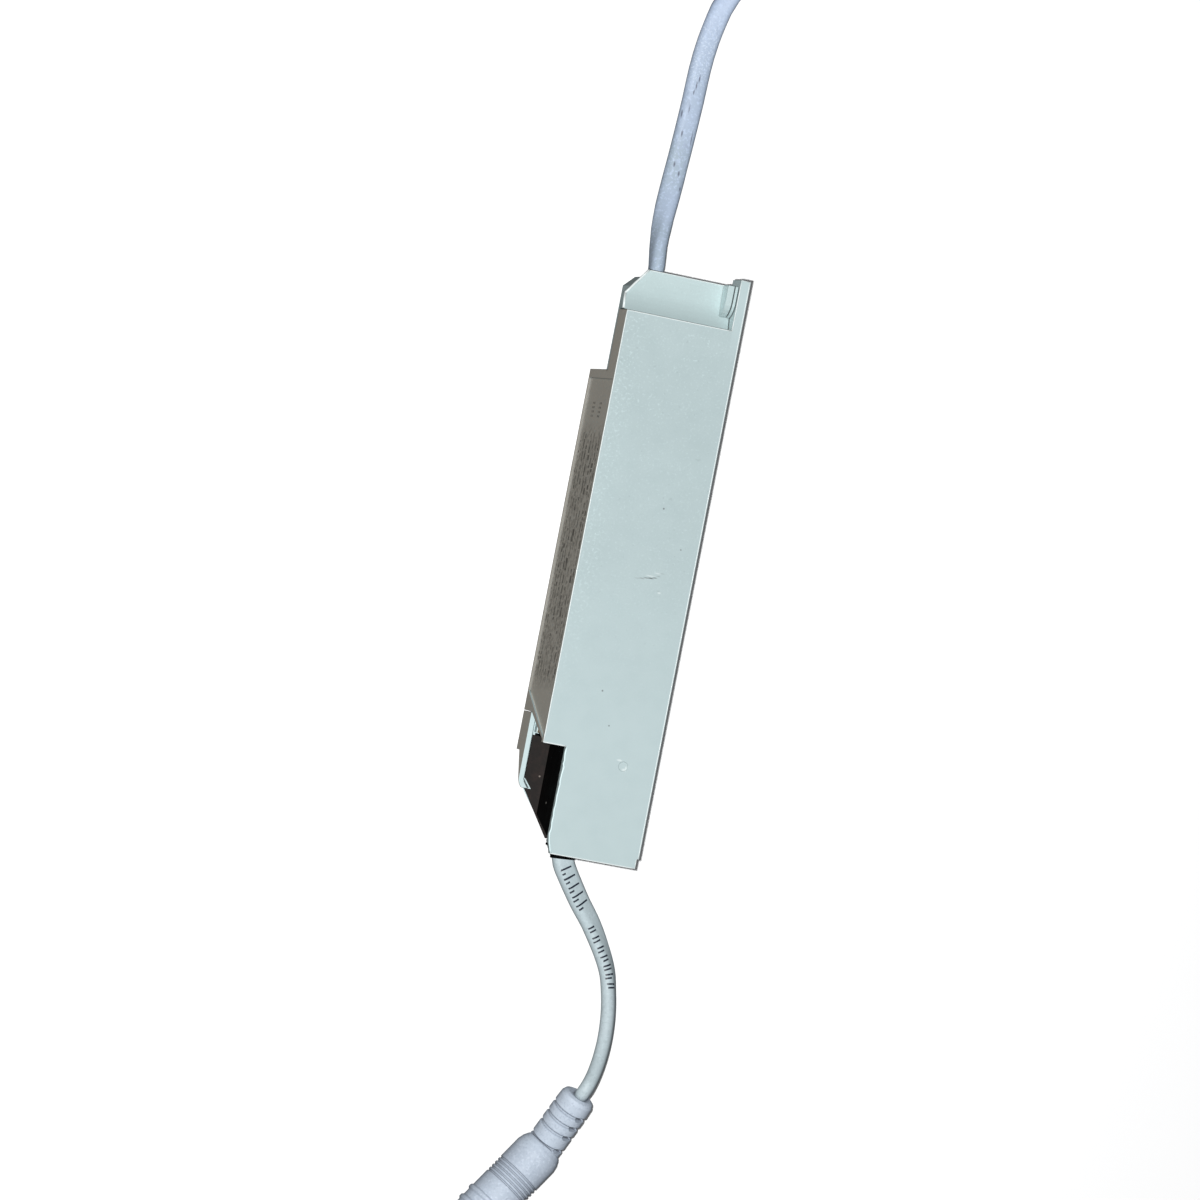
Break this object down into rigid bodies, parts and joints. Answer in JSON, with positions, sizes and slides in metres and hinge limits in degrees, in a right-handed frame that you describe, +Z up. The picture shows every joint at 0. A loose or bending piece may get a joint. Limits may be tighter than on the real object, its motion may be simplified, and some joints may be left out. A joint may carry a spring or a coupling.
{
  "type": "power supply",
  "caption": "Slim sealed power supply for a lamp: split white plastic housing with an open output corner, a flat mains lead and a flat output lead that ends in an inline round socket.",
  "frame": {"origin": "centre of the housing's underside, with the leads left out", "axes": "+X across the housing towards its closed side, +Y along it towards the mains end, +Z up out of the top face"},
  "size_m": [0.0636, 0.3516, 0.022],
  "materials": {
    "housing_white": "satin moulded",
    "cap_white": "satin moulded",
    "black_film": "matt film",
    "brown_fibre": "fibre board",
    "board": "bare laminate",
    "ceramic_white": "glazed",
    "blue_coating": "dipped",
    "yellow_case": "moulded",
    "ferrite": "sintered",
    "copper": "bare copper",
    "black_resin": "moulded",
    "dark_can": "sleeved",
    "winding_tape": "taped",
    "sheet_aluminium": "bare",
    "plated_steel": "nickel plated",
    "core_sheath": "smooth",
    "lead_sheath": "smooth",
    "connector_plastic": "smooth moulded"
  },
  "bodies": {
    "root": {"upper_shell": "housing_white", "base_tray": "housing_white", "input_end_cap": "cap_white", "insulating_liner": "black_film", "insulating_sheet": "brown_fibre", "circuit_board": "board", "fuse": "ceramic_white", "varistor": "blue_coating", "x_capacitor": "yellow_case", "choke_core": "ferrite", "choke_winding": "copper", "bridge_rectifier": "black_resin", "bulk_capacitor": "dark_can", "transformer_core": "ferrite", "transformer_winding": "winding_tape", "power_transistor": "black_resin", "heat_sink": "sheet_aluminium", "controller_chip": "black_resin", "chip_resistors": "black_resin", "y_capacitor": "blue_coating", "output_diode": "black_resin", "filter_inductor": "ferrite", "output_capacitors": "dark_can", "input_clamp": "cap_white", "output_clamp": "cap_white", "clamp_screws": "plated_steel", "input_wires": "core_sheath", "output_wires": "core_sheath", "output_cord_sleeve": "black_film", "input_cord": "lead_sheath", "input_coil": "lead_sheath", "coil_tie": "cap_white", "lead_cores": "core_sheath", "lead_strands": "copper", "output_cord": "lead_sheath", "connector_moulding": "connector_plastic", "connector_insert": "black_resin", "connector_sleeve": "plated_steel", "connector_pin": "plated_steel"}
  },
  "joints": []
}
